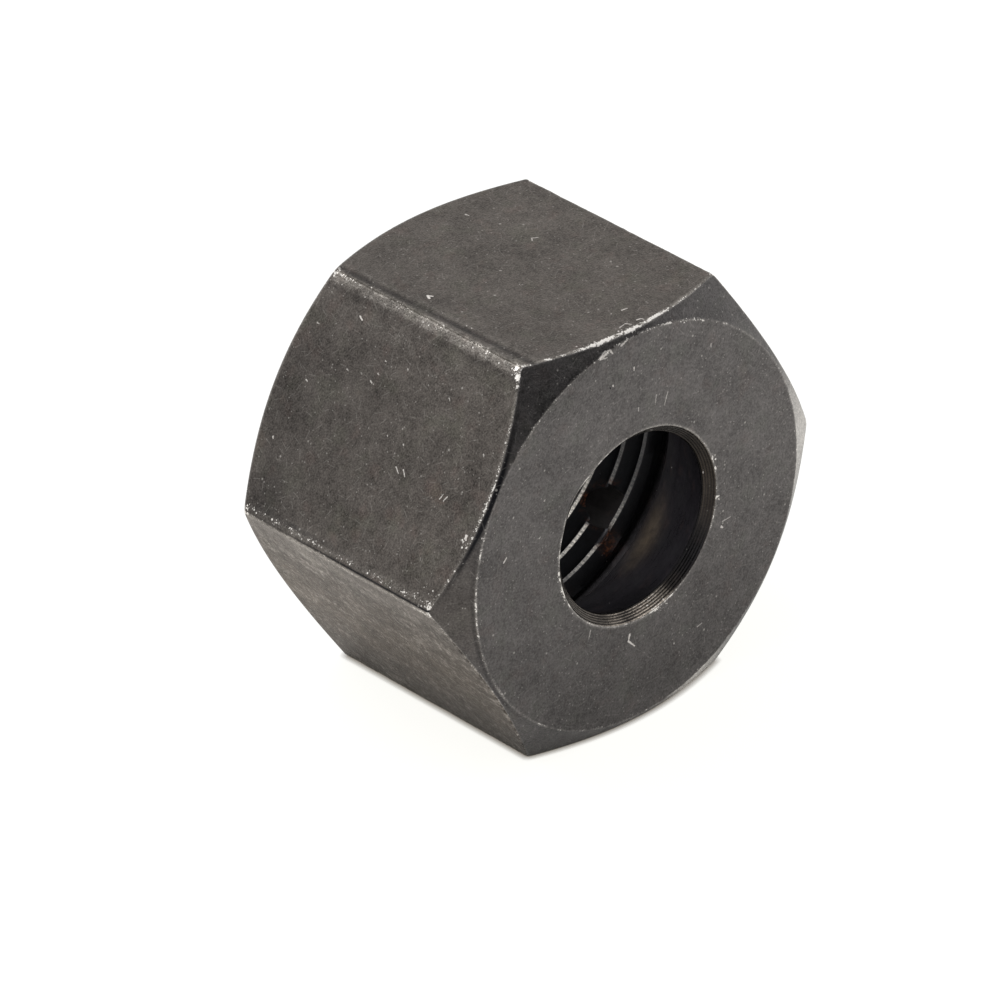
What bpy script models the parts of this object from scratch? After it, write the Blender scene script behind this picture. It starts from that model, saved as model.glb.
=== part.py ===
# Collet nut, turned from hexagon bar in one piece. Metres, +Z up.
# The nut lies on one flat. Its axis runs along Y: the bored front faces -Y, the threaded rear +Y.
# Depths are measured along the axis from the front face towards the rear.
import math

import bmesh
import bpy
from mathutils import Matrix, Vector

# Hexagon bar and its turned ends
ACROSS_FLATS = 0.025
LENGTH = 0.018
CORNER_RADIUS = 0.0003
FRONT_FACE_INSET = 0.00035  # from a flat in to the edge of the round front face
REAR_FACE_INSET = 0.0005  # the same at the rear
CHAMFER_ANGLE = math.radians(33.5)  # between an end face and the chamfer round it

# Front opening, which the tool's shank passes through
BORE_DIAMETER = 0.0108
MOUTH_WIDTH = 0.00055  # how far the countersink reaches outside the bore
MOUTH_ANGLE = math.radians(45.0)
LAND_LENGTH = 0.00015  # short straight wall between the countersink and the seat

# Tapered seat that presses on the collet
SEAT_ANGLE = math.radians(30.0)  # between the seat and the axis
SEAT_STEP = 0.00014  # from the seat's wide end out to the thread's crests

# Socket that screws onto the spindle by a right-handed metric thread
SOCKET_WALL = 0.0025  # from the thread's roots out to a flat
THREAD_DIAMETER = ACROSS_FLATS - 2 * SOCKET_WALL
THREAD_PITCH = 0.0015
FLANK_ANGLE = math.radians(30.0)  # between a flank of the thread and a plane square to the axis
THREAD_END_ANGLE = math.radians(82.5)  # where its groove ends in the relief, from +X towards +Z
RELIEF_LENGTH = 0.0015  # groove that the thread runs out into
RELIEF_CLEARANCE = 0.0002  # from the thread's roots out to the groove's floor
REAR_MOUTH_CLEARANCE = 0.0002  # from the thread's roots out to the edge of the rear countersink
REAR_MOUTH_ANGLE = math.radians(45.0)

# Drilled hole through the wall of the socket
HOLE_DIAMETER = 0.0025
HOLE_SETBACK = 0.002  # from the thread's start to the hole's axis
HOLE_ANGLE = math.radians(-41.0)  # about the nut's axis, from +X towards +Z

# Fineness of the curves
TURNED_STEPS = 144
INSIDE_STEPS = 72
CORNER_STEPS = 3
HOLE_STEPS = 48
SHARP_ANGLE = math.radians(12.0)

# Cutters reach this far past the surfaces that they cut
OVERCUT = 0.001
THREAD_OVERCUT = 0.00015  # short, so that the groove's turns stay apart


def flat_distance():
    return ACROSS_FLATS / 2


def corner_distance():
    return flat_distance() / math.cos(math.radians(30.0))


def crest_radius():
    """Inner radius of a metric thread: five eighths of the sharp triangle's height inside its outer radius."""
    triangle_height = THREAD_PITCH / (2 * math.tan(FLANK_ANGLE))
    return THREAD_DIAMETER / 2 - triangle_height * 5 / 8


def mouth_depth():
    return MOUTH_WIDTH / math.tan(MOUTH_ANGLE)


def seat_radius():
    """Radius of the seat at its wide end."""
    return crest_radius() - SEAT_STEP


def seat_end():
    rise = seat_radius() - BORE_DIAMETER / 2
    return mouth_depth() + LAND_LENGTH + rise / math.tan(SEAT_ANGLE)


def thread_start():
    return seat_end() + RELIEF_LENGTH


def clear_scene():
    for old in list(bpy.data.objects):
        bpy.data.objects.remove(old, do_unlink=True)


def new_collection(name):
    made = bpy.data.collections.new(name)
    bpy.context.scene.collection.children.link(made)
    return made


def new_object(name, mesh, collection, axis):
    """An object of this mesh whose own Z runs along the nut's axis, towards the front."""
    made = bpy.data.objects.new(name, mesh)
    made.parent = axis
    collection.objects.link(made)
    return made


def nut_axis(collection):
    """The empty that carries every shape: its Z points out of the front face."""
    axis = bpy.data.objects.new("nut_axis", None)
    axis.location = Vector((0.0, 0.0, flat_distance()))
    axis.rotation_euler = (math.radians(90.0), 0.0, 0.0)
    collection.objects.link(axis)
    return axis


def height_of(depth):
    return LENGTH / 2 - depth


def turned(name, profile, steps, collection, axis):
    """A solid turned about the axis from (radius, depth) points that run from the front to the rear."""
    mesh = bpy.data.meshes.new(name)
    points = [(radius, 0.0, height_of(depth)) for radius, depth in profile]
    mesh.from_pydata(points, [(i, i + 1) for i in range(len(points) - 1)], [])
    made = new_object(name, mesh, collection, axis)
    screw = made.modifiers.new("turning", "SCREW")
    screw.axis = "Z"
    screw.angle = math.tau
    screw.steps = steps
    screw.render_steps = steps
    screw.use_merge_vertices = True
    screw.merge_threshold = 0.000001
    return made


def hexagon_bar(name, collection, axis):
    """Hexagon bar a little longer than the nut, with its six long edges rounded."""
    bar = bmesh.new()
    bmesh.ops.create_cone(
        bar,
        cap_ends=True,
        segments=6,
        radius1=corner_distance(),
        radius2=corner_distance(),
        depth=LENGTH + 2 * OVERCUT,
        matrix=Matrix.Rotation(math.radians(30.0), 4, "Z"),
    )
    long_edges = [edge for edge in bar.edges if abs(edge.verts[0].co.z - edge.verts[1].co.z) > OVERCUT]
    bmesh.ops.bevel(
        bar,
        geom=long_edges,
        offset=CORNER_RADIUS * math.tan(math.radians(30.0)),
        offset_type="OFFSET",
        segments=CORNER_STEPS,
        profile=0.5,
        affect="EDGES",
    )
    mesh = bpy.data.meshes.new(name)
    bar.to_mesh(mesh)
    bar.free()
    return new_object(name, mesh, collection, axis)


def blank(collection, axis):
    """The turned shape that trims the bar: two flat round ends with a chamfer cone behind each."""
    front_radius = flat_distance() - FRONT_FACE_INSET
    rear_radius = flat_distance() - REAR_FACE_INSET
    stock_radius = corner_distance() + OVERCUT
    slope = math.tan(CHAMFER_ANGLE)
    profile = [
        (0.0, 0.0),
        (front_radius, 0.0),
        (stock_radius, (stock_radius - front_radius) * slope),
        (stock_radius, LENGTH - (stock_radius - rear_radius) * slope),
        (rear_radius, LENGTH),
        (0.0, LENGTH),
    ]
    return turned("blank", profile, TURNED_STEPS, collection, axis)


def inside(collection, axis):
    """Everything that is bored out: countersink, land, tapered seat, relief groove and socket."""
    bore_radius = BORE_DIAMETER / 2
    land_end = mouth_depth() + LAND_LENGTH
    relief_radius = THREAD_DIAMETER / 2 + RELIEF_CLEARANCE
    rear_mouth_radius = THREAD_DIAMETER / 2 + REAR_MOUTH_CLEARANCE
    rear_mouth_depth = (rear_mouth_radius - crest_radius()) / math.tan(REAR_MOUTH_ANGLE)
    profile = [
        (0.0, -OVERCUT),
        (bore_radius + MOUTH_WIDTH + OVERCUT * math.tan(MOUTH_ANGLE), -OVERCUT),
        (bore_radius, mouth_depth()),
        (bore_radius, land_end),
        (seat_radius(), seat_end()),
        (relief_radius, seat_end()),
        (relief_radius, thread_start()),
        (crest_radius(), thread_start()),
        (crest_radius(), LENGTH - rear_mouth_depth),
        (rear_mouth_radius + OVERCUT * math.tan(REAR_MOUTH_ANGLE), LENGTH + OVERCUT),
        (0.0, LENGTH + OVERCUT),
    ]
    return turned("inside", profile, INSIDE_STEPS, collection, axis)


def thread_groove(collection, axis):
    """The thread's groove: a trapezoid on a right-handed helix, from behind the rear face into the relief."""
    root_radius = THREAD_DIAMETER / 2
    inner_radius = crest_radius() - THREAD_OVERCUT
    root_half = THREAD_PITCH / 16
    inner_half = root_half + (root_radius - inner_radius) * math.tan(FLANK_ANGLE)
    mesh = bpy.data.meshes.new("thread_groove")
    points = [
        (inner_radius, 0.0, -inner_half),
        (root_radius, 0.0, -root_half),
        (root_radius, 0.0, root_half),
        (inner_radius, 0.0, inner_half),
    ]
    mesh.from_pydata(points, [(i, (i + 1) % len(points)) for i in range(len(points))], [])
    made = new_object("thread_groove", mesh, collection, axis)
    end_depth = seat_end() + RELIEF_LENGTH / 2
    start_depth = LENGTH + THREAD_PITCH
    steps = math.ceil((start_depth - end_depth) / THREAD_PITCH * INSIDE_STEPS)
    rise = steps * THREAD_PITCH / INSIDE_STEPS
    turn = steps * math.tau / INSIDE_STEPS
    made.location = Vector((0.0, 0.0, height_of(end_depth) - rise))
    made.rotation_euler = (0.0, 0.0, THREAD_END_ANGLE - turn)
    screw = made.modifiers.new("helix", "SCREW")
    screw.axis = "Z"
    screw.angle = turn
    screw.screw_offset = rise
    screw.steps = steps
    screw.render_steps = steps
    close_ends(made)
    return made


def close_ends(tube):
    """Makes the modifier's result the tube's own mesh and puts a face on each open end."""
    mesh = evaluated_mesh(tube)
    shape = bmesh.new()
    shape.from_mesh(mesh)
    bmesh.ops.holes_fill(shape, edges=[edge for edge in shape.edges if edge.is_boundary], sides=0)
    bmesh.ops.recalc_face_normals(shape, faces=shape.faces)
    shape.to_mesh(mesh)
    shape.free()
    tube.modifiers.clear()
    tube.data = mesh


def wall_drill(collection, axis):
    """The drill that makes the hole: it reaches from inside the socket out through one wall."""
    reach = corner_distance() + OVERCUT
    drill = bmesh.new()
    bmesh.ops.create_cone(
        drill,
        cap_ends=True,
        segments=HOLE_STEPS,
        radius1=HOLE_DIAMETER / 2,
        radius2=HOLE_DIAMETER / 2,
        depth=reach,
        matrix=Matrix.Translation(Vector((0.0, 0.0, reach / 2))),
    )
    mesh = bpy.data.meshes.new("wall_drill")
    drill.to_mesh(mesh)
    drill.free()
    made = new_object("wall_drill", mesh, collection, axis)
    made.location = Vector((0.0, 0.0, height_of(thread_start() + HOLE_SETBACK)))
    made.rotation_euler = (0.0, math.radians(90.0), HOLE_ANGLE)
    return made


def combine(target, other, operation):
    """Adds a Boolean to the target and hides the other shape from renders."""
    step = target.modifiers.new(other.name, "BOOLEAN")
    step.operation = operation
    step.solver = "EXACT"
    step.object = other
    other.hide_render = True
    other.display_type = "WIRE"


def black_oxide_steel():
    """Blackened steel: dark warm grey, satin."""
    steel = bpy.data.materials.new("black_oxide_steel")
    steel.use_nodes = True
    shader = steel.node_tree.nodes["Principled BSDF"]
    shader.inputs["Base Color"].default_value = (0.085, 0.08, 0.075, 1.0)
    shader.inputs["Metallic"].default_value = 0.6
    shader.inputs["Roughness"].default_value = 0.5
    steel.diffuse_color = (0.085, 0.08, 0.075, 1.0)
    return steel


def evaluated_mesh(target):
    """A new mesh of the object with its modifiers applied."""
    bpy.context.view_layer.update()
    graph = bpy.context.evaluated_depsgraph_get()
    return bpy.data.meshes.new_from_object(target.evaluated_get(graph))


def settle(target, material):
    """Makes the cut shape the object's own mesh, smooth on its turned faces and sharp at their edges."""
    mesh = evaluated_mesh(target)
    mesh.name = target.name
    target.modifiers.clear()
    target.data = mesh
    mesh.shade_smooth()
    mesh.set_sharp_from_angle(angle=SHARP_ANGLE)
    mesh.materials.clear()
    mesh.materials.append(material)


def build_nut():
    clear_scene()
    parts = new_collection("collet_nut")
    cutters = new_collection("cutters")
    axis = nut_axis(parts)
    nut = hexagon_bar("collet_nut", parts, axis)
    combine(nut, blank(cutters, axis), "INTERSECT")
    combine(nut, inside(cutters, axis), "DIFFERENCE")
    combine(nut, thread_groove(cutters, axis), "DIFFERENCE")
    combine(nut, wall_drill(cutters, axis), "DIFFERENCE")
    settle(nut, black_oxide_steel())


build_nut()
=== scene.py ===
# Collet nut: worn black-oxide steel, lying on one flat on a pale table.
import math
import time

import bmesh
import bpy
import numpy as np
from mathutils import Matrix, Vector


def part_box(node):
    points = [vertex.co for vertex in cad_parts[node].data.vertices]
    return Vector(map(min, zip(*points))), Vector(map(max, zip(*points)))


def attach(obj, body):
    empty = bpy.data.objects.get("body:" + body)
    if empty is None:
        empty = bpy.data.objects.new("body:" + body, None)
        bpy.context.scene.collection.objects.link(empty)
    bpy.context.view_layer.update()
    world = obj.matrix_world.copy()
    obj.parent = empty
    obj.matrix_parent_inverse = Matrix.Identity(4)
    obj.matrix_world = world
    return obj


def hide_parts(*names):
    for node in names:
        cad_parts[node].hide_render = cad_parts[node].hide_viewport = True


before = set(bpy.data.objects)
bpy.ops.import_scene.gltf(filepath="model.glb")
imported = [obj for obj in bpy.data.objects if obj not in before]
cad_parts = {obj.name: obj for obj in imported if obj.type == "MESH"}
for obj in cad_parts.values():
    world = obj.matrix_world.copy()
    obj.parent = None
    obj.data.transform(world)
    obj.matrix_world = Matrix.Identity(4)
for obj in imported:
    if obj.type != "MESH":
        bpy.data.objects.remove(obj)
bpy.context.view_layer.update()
startTime = time.time()
mm = 0.001

# the nut's place comes from the frame: its axis runs along Y, the bored front faces -Y
nutLow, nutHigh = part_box("collet_nut")
nutMiddle = (nutLow + nutHigh) / 2
flatDistance = (nutHigh.z - nutLow.z) / 2 / mm
nutLength = (nutHigh.y - nutLow.y) / mm


def report(stage):
    print(f"{time.time() - startTime:6.1f} s  {stage}")


# Short helpers for shader nodes


def fill(tree, socket, value):
    # a number or a tuple is set on the socket, and another node's output is linked to it
    if isinstance(value, (int, float)):
        socket.default_value = value
    elif isinstance(value, tuple):
        socket.default_value = (*value, 1.0) if socket.type == "RGBA" else value
    else:
        tree.links.new(value, socket)


def addNode(tree, kind, *values, **settings):
    # a node with these settings, and with these values in its first sockets
    node = tree.nodes.new(kind)
    for key, value in settings.items():
        setattr(node, key, value)
    for socket, value in zip(node.inputs, values):
        fill(tree, socket, value)
    return node


def maths(tree, operation, *values, clamp=False):
    return addNode(tree, "ShaderNodeMath", *values, operation=operation, use_clamp=clamp).outputs[0]


def times(tree, *values, clamp=False):
    return maths(tree, "MULTIPLY", *values, clamp=clamp)


def timesPlus(tree, value, factor, plus):
    return maths(tree, "MULTIPLY_ADD", value, factor, plus)


def larger(tree, *values):
    return maths(tree, "MAXIMUM", *values)


def vectorMaths(tree, operation, *values):
    node = addNode(tree, "ShaderNodeVectorMath", operation=operation)
    sockets = (node.inputs[0], node.inputs["Scale"]) if operation == "SCALE" else node.inputs
    for socket, value in zip(sockets, values):
        fill(tree, socket, value)
    return node.outputs["Value" if operation in ("DOT_PRODUCT", "LENGTH") else "Vector"]


def between(tree, value, start, end, low=0.0, high=1.0):
    # runs smoothly from low to high as the value goes from start to end
    values = (value, start, end, low, high)
    return addNode(tree, "ShaderNodeMapRange", *values, interpolation_type="SMOOTHSTEP").outputs["Result"]


def mixed(tree, factor, first, second, blend="MIX"):
    node = addNode(tree, "ShaderNodeMix", factor, data_type="RGBA", blend_type=blend, clamp_factor=True)
    fill(tree, node.inputs[6], first)
    fill(tree, node.inputs[7], second)
    return node.outputs[2]


def noise(tree, place, scale, detail=2.0, roughness=0.5):
    # cloudy values round 0, from about -0.35 to 0.35
    node = addNode(tree, "ShaderNodeTexNoise", place)
    for label, value in (("Scale", scale), ("Detail", detail), ("Roughness", roughness)):
        fill(tree, node.inputs[label], value)
    return maths(tree, "SUBTRACT", node.outputs["Fac"], 0.5)


def newGroup(name, vectors, values, results):
    # an empty shader group: the names of the vectors and values that it is given, and of its results
    tree = bpy.data.node_groups.new(name, "ShaderNodeTree")
    for label in vectors.split():
        tree.interface.new_socket(name=label, in_out="INPUT", socket_type="NodeSocketVector")
    for label in values.split():
        tree.interface.new_socket(name=label, in_out="INPUT", socket_type="NodeSocketFloat")
    for label in results.split():
        tree.interface.new_socket(name=label, in_out="OUTPUT", socket_type="NodeSocketFloat")
    return tree, tree.nodes.new("NodeGroupInput").outputs, tree.nodes.new("NodeGroupOutput").inputs


def useGroup(tree, group, **values):
    node = addNode(tree, "ShaderNodeGroup", node_tree=group)
    for label, value in values.items():
        fill(tree, node.inputs[label], value)
    return node.outputs


def addObject(name, data):
    thing = bpy.data.objects.new(name, data)
    bpy.context.scene.collection.objects.link(thing)
    return thing


# Camera and studio

cameraView = {
    "azimuth": -42.373,  # degrees round the nut from its front
    "elevation": 31.131,
    "roll": -1.107,
    "distance": 554.95,  # mm to the nut's middle
    "lens": 360.0,
    "sensor": 36.0,
    "picture": 1001,  # pixels across
    "middleInPicture": (526.53, 466.29),  # where the nut's middle falls
}
studio = {
    "roomLight": 0.80,  # brightness of the white room for matt surfaces
    "tableWhite": 0.92,
    "tableSize": 1200.0,  # mm
    # the table's matt colour and glow: together white, and the matt part carries the shadow
    "tableSeen": ((0.17, 0.18, 0.22), (0.93, 0.92, 0.87)),
    "tableReflected": ((0.98, 0.97, 0.95), (0.14, 0.14, 0.13)),
    "contactReach": 0.36,  # how far the dark line where the nut meets the table spreads, mm
    "contactColour": (0.07, 0.04, 0.0),
}
darkCard = {  # in front of the nut, right of the camera
    "middle": (110.0, -400.0, 125.0),  # mm from the nut's axis
    "size": (640.0, 300.0),
    "colour": (0.02, 0.02, 0.024),
}
softbox = {
    "direction": (-0.25, 0.60, 0.75),
    "distance": 450.0,
    "size": 300.0,
    "brightness": 2.2,  # what a mirror would show of it, where the room shows 1
}


def makeCamera(view):
    # back = from the nut to the camera; the picture's own axes are turned by the roll
    azimuth, elevation, roll = (math.radians(view[key]) for key in ("azimuth", "elevation", "roll"))
    flatBack = Vector((math.sin(azimuth), -math.cos(azimuth), 0.0))
    back = flatBack * math.cos(elevation) + Vector((0.0, 0.0, math.sin(elevation)))
    level = Vector((math.cos(azimuth), math.sin(azimuth), 0.0))
    upright = back.cross(level)
    right = level * math.cos(roll) + upright * math.sin(roll)
    up = upright * math.cos(roll) - level * math.sin(roll)
    distance = view["distance"] * mm
    pixel = distance * view["sensor"] / view["lens"] / view["picture"]
    across = (view["middleInPicture"][0] - view["picture"] / 2) * pixel
    down = (view["middleInPicture"][1] - view["picture"] / 2) * pixel
    data = bpy.data.cameras.new("camera")
    data.lens = view["lens"]
    data.sensor_width = view["sensor"]
    data.clip_start = 0.01
    data.clip_end = 20.0
    camera = addObject("camera", data)
    place = nutMiddle + back * distance - right * across + up * down
    camera.matrix_world = Matrix.Translation(place) @ Matrix((right, up, back)).transposed().to_4x4()
    bpy.context.scene.camera = camera


def whiteRays(tree):
    # 1 for the rays that show the background: the camera's, reflected ones and those through glass
    path = addNode(tree, "ShaderNodeLightPath")
    shown = maths(tree, "ADD", path.outputs["Is Camera Ray"], path.outputs["Is Glossy Ray"])
    return maths(tree, "ADD", shown, path.outputs["Is Transmission Ray"], clamp=True)


def makeWorld(values):
    world = bpy.data.worlds.new("white_room")
    bpy.context.scene.world = world
    world.use_nodes = True
    tree = world.node_tree
    background = tree.nodes["Background"]
    level = values["roomLight"]
    colour = mixed(tree, whiteRays(tree), (level, level, level), (1.0, 1.0, 1.0))
    tree.links.new(colour, background.inputs["Color"])


def makePanel(name, middle, across, up, material):
    # a rectangle: its middle, and from there the way to its right side and to its upper side, in mm
    corners = np.array([(-1, -1), (1, -1), (1, 1), (-1, 1)]) @ np.array([across, up]) + middle
    mesh = bpy.data.meshes.new(name)
    mesh.from_pydata(corners * mm, [], [(0, 1, 2, 3)])
    mesh.materials.append(material)
    panel = addObject(name, mesh)
    return panel


def makeTable(values):
    # matt white; where it is seen, a glow lifts it to plain white and leaves a faint shadow, and close to
    # what touches the table the glow fades to a dark line
    table = bpy.data.materials.new("table_white")
    table.use_nodes = True
    tree = table.node_tree
    tree.nodes.clear()
    fromCamera = addNode(tree, "ShaderNodeLightPath").outputs["Is Camera Ray"]
    seen, seenGlow = values["tableSeen"]
    reflected, reflectedGlow = values["tableReflected"]
    white = values["tableWhite"]
    colour = mixed(tree, whiteRays(tree), (white, white, white), reflected)
    colour = mixed(tree, fromCamera, colour, seen)
    light = mixed(tree, whiteRays(tree), (0.0, 0.0, 0.0), reflectedGlow)
    light = mixed(tree, fromCamera, light, seenGlow)
    openness = addNode(tree, "ShaderNodeAmbientOcclusion", samples=8)
    openness.inputs["Distance"].default_value = values["contactReach"] * mm
    shade = mixed(tree, openness.outputs["AO"], values["contactColour"], (1.0, 1.0, 1.0))
    matt = addNode(tree, "ShaderNodeBsdfDiffuse", colour)
    glow = addNode(tree, "ShaderNodeEmission", mixed(tree, 1.0, light, shade, "MULTIPLY"))
    both = addNode(tree, "ShaderNodeAddShader", matt.outputs[0], glow.outputs[0])
    addNode(tree, "ShaderNodeOutputMaterial", both.outputs[0])
    half = values["tableSize"] / 2
    makePanel("table", (0.0, 0.0, 0.0), (half, 0.0, 0.0), (0.0, half, 0.0), table)


def makeDarkCard(values):
    # only reflections see it: it darkens the chamfers that face the front
    dark = bpy.data.materials.new("dark_card")
    dark.use_nodes = True
    shader = dark.node_tree.nodes["Principled BSDF"]
    fill(dark.node_tree, shader.inputs["Base Color"], values["colour"])
    shader.inputs["Roughness"].default_value = 1.0
    shader.inputs["Specular IOR Level"].default_value = 0.0
    x, y, z = values["middle"]
    wide, high = values["size"]
    middle = (x, y, z + nutMiddle.z / mm)
    card = makePanel("dark_card", middle, (wide / 2, 0.0, 0.0), (0.0, 0.0, high / 2), dark)
    card.visible_camera = False
    card.visible_diffuse = False
    card.visible_shadow = False


def makeSoftbox(values):
    side = values["size"] * mm
    data = bpy.data.lights.new("softbox", "AREA")
    data.size = side
    data.energy = values["brightness"] * math.pi * side * side
    lamp = addObject("softbox", data)
    away = Vector(values["direction"]).normalized()
    lamp.location = nutMiddle + away * values["distance"] * mm
    lamp.rotation_euler = away.to_track_quat("Z", "Y").to_euler()


bpy.context.scene.view_settings.view_transform = "Standard"
makeCamera(cameraView)
makeWorld(studio)
makeTable(studio)
makeDarkCard(darkCard)
makeSoftbox(softbox)
report("camera and studio")


# The nut's sizes: lengths in mm, angles in degrees from +X towards +Z

nutForm = {
    "edgeRound": 0.32,  # radius of the six long edges
    "faceInset": 0.35,  # from a flat in to the edge of the round front face
    "rearInset": 0.50,
    "chamferAngle": 33.5,
    "boreRadius": 5.40,
    "mouthWidth": 0.55,
    "landLength": 0.15,
    "seatAngle": 30.0,
    "seatStep": 0.14,
    "threadRadius": 10.0,  # to the roots
    "threadPitch": 1.5,
    "crestWidth": 0.30,
    "crestPhase": 9.62,  # depth of a crest at 180 degrees
    "crestNotches": 206.0,  # in one turn of the crest, left by a chattering tool
    "reliefLength": 1.5,
    "reliefClearance": 0.2,
    "rearMouthClearance": 0.2,
    "holeRadius": 1.25,
    "holeSetback": 2.0,  # from the thread's start to the small hole's axis
    "holeAngle": -41.0,
    "mouthRings": 5,  # turning marks in the countersink
    "ringDepth": 0.022,
}

# sizes that follow from those above; a metric thread is 5/8 as deep as its triangle is high
crestRadius = nutForm["threadRadius"] - nutForm["threadPitch"] * math.sqrt(3.0) / 2 * 5 / 8
faceRadius = flatDistance - nutForm["faceInset"]
rearRadius = flatDistance - nutForm["rearInset"]
chamferSlope = math.tan(math.radians(nutForm["chamferAngle"]))
mouthRadius = nutForm["boreRadius"] + nutForm["mouthWidth"]
seatRadius = crestRadius - nutForm["seatStep"]
landEnd = nutForm["mouthWidth"] + nutForm["landLength"]
seatEnd = landEnd + (seatRadius - nutForm["boreRadius"]) / math.tan(math.radians(nutForm["seatAngle"]))
threadStart = seatEnd + nutForm["reliefLength"]
threadEnd = nutLength - nutForm["rearMouthClearance"]
rearMouth = nutForm["threadRadius"] + nutForm["rearMouthClearance"]
halfFlat = flatDistance * math.tan(math.radians(30.0))
holeDepth = threadStart + nutForm["holeSetback"]

# Shader groups, each used by several finishes. Places in them are mm from the middle of the nut's axis


def placeOnNut(tree):
    # Object coordinates as mm from the middle of the nut's axis, and as radius, depth and turn round the axis
    coordinates = addNode(tree, "ShaderNodeTexCoord").outputs["Object"]
    fromMiddle = vectorMaths(tree, "SUBTRACT", coordinates, tuple(nutMiddle))
    place = vectorMaths(tree, "SCALE", fromMiddle, 1.0 / mm)
    x, y, z = addNode(tree, "ShaderNodeSeparateXYZ", place).outputs
    radius = vectorMaths(tree, "LENGTH", vectorMaths(tree, "MULTIPLY", place, (1.0, 0.0, 1.0)))
    around = addNode(tree, "ShaderNodeCombineXYZ", radius, y, maths(tree, "ARCTAN2", z, x))
    return place, around.outputs[0]


def makeMottleGroup():
    # 1 plus cloudy values at three grains: 0.1 mm, 0.4 mm and 2 mm
    tree, given, result = newGroup("oxide_mottle", "Place", "Fine Medium Broad", "Value")
    total = 1.0
    for label, scale in (("Fine", 9.5), ("Medium", 2.4), ("Broad", 0.5)):
        total = timesPlus(tree, noise(tree, given["Place"], scale), given[label], total)
    fill(tree, result["Value"], larger(tree, total, 0.05))
    return tree


def makeRubGroup():
    # pale and dark rub marks along the nut and a grain across it, on what faces down, weaker at the right
    tree, given, result = newGroup("long_rubs", "Place", "", "Value")
    place = given["Place"]
    parts = addNode(tree, "ShaderNodeSeparateXYZ", place).outputs
    low = between(tree, parts["Z"], 0.5, -3.0)
    low = times(tree, low, between(tree, parts["X"], 3.0, -3.0, 0.35, 1.0))
    long = noise(tree, vectorMaths(tree, "MULTIPLY", place, (1.1, 0.40, 1.1)), 1.0, 3.0, 0.65)
    short = noise(tree, vectorMaths(tree, "MULTIPLY", place, (2.0, 5.0, 2.0)), 1.0, 3.0, 0.7)
    total = timesPlus(tree, short, 0.8, long)
    total = timesPlus(tree, noise(tree, place, 3.2, 2.0, 0.6), 0.9, total)
    fill(tree, result["Value"], times(tree, total, low))
    return tree


def cellPattern(tree, given):
    # Voronoi cells of the given spacing, and three random numbers for each cell
    cells = addNode(tree, "ShaderNodeTexVoronoi", given["Place"])
    fill(tree, cells.inputs["Scale"], maths(tree, "DIVIDE", 1.0, given["Spacing"]))
    return cells.outputs, addNode(tree, "ShaderNodeSeparateColor", cells.outputs["Color"]).outputs


def makeSpeckGroup():
    # small round specks: some cells carry one at their middle, each of its own size
    tree, given, result = newGroup("pale_specks", "Place", "Spacing Share Size", "Mask")
    cells, chance = cellPattern(tree, given)
    away = times(tree, cells["Distance"], given["Spacing"])
    size = times(tree, given["Size"], maths(tree, "ADD", chance[1], 0.5))
    inside = between(tree, away, size, times(tree, size, 0.4))
    chosen = maths(tree, "LESS_THAN", chance[0], given["Share"])
    fill(tree, result["Mask"], times(tree, inside, chosen))
    return tree


def makeScratchGroup():
    # short straight hair lines: some cells have one, along a random direction laid flat on the surface
    tree, given, result = newGroup("hair_scratches", "Place Normal", "Spacing Share Width Length", "Mask")
    cells, chance = cellPattern(tree, given)

    def laidFlat(vector):
        lift = vectorMaths(tree, "DOT_PRODUCT", vector, given["Normal"])
        return vectorMaths(tree, "SUBTRACT", vector, vectorMaths(tree, "SCALE", given["Normal"], lift))

    offset = laidFlat(vectorMaths(tree, "SUBTRACT", given["Place"], cells["Position"]))
    heading = laidFlat(vectorMaths(tree, "SUBTRACT", cells["Color"], (0.5, 0.5, 0.5)))
    heading = vectorMaths(tree, "NORMALIZE", heading)
    along = vectorMaths(tree, "DOT_PRODUCT", offset, heading)
    onLine = vectorMaths(tree, "SCALE", heading, along)
    across = vectorMaths(tree, "LENGTH", vectorMaths(tree, "SUBTRACT", offset, onLine))
    thin = between(tree, across, given["Width"], 0.0)
    halfLength = times(tree, given["Length"], 0.5)
    short = between(tree, maths(tree, "ABSOLUTE", along), given["Length"], halfLength)
    chosen = maths(tree, "LESS_THAN", chance[2], given["Share"])
    fill(tree, result["Mask"], times(tree, times(tree, thin, short), chosen))
    return tree


def makeStrokeGroup():
    # one mark: where the distance to the line from its start to its end, made ragged, is under its width,
    # which tapers
    tree, given, result = newGroup("stroke_mark", "Place Start End", "Width", "Mask")
    line = vectorMaths(tree, "SUBTRACT", given["End"], given["Start"])
    offset = vectorMaths(tree, "SUBTRACT", given["Place"], given["Start"])
    square = maths(tree, "ADD", vectorMaths(tree, "DOT_PRODUCT", line, line), 1e-6)
    part = maths(tree, "DIVIDE", vectorMaths(tree, "DOT_PRODUCT", offset, line), square, clamp=True)
    nearest = vectorMaths(tree, "SCALE", line, part)
    away = vectorMaths(tree, "LENGTH", vectorMaths(tree, "SUBTRACT", offset, nearest))
    width = times(tree, given["Width"], timesPlus(tree, part, -0.45, 1.05))
    uneven = times(tree, noise(tree, given["Place"], 10.0, 3.0), given["Width"])
    ragged = timesPlus(tree, uneven, 1.7, away)
    fill(tree, result["Mask"], between(tree, ragged, width, times(tree, width, 0.3)))
    return tree


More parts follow.
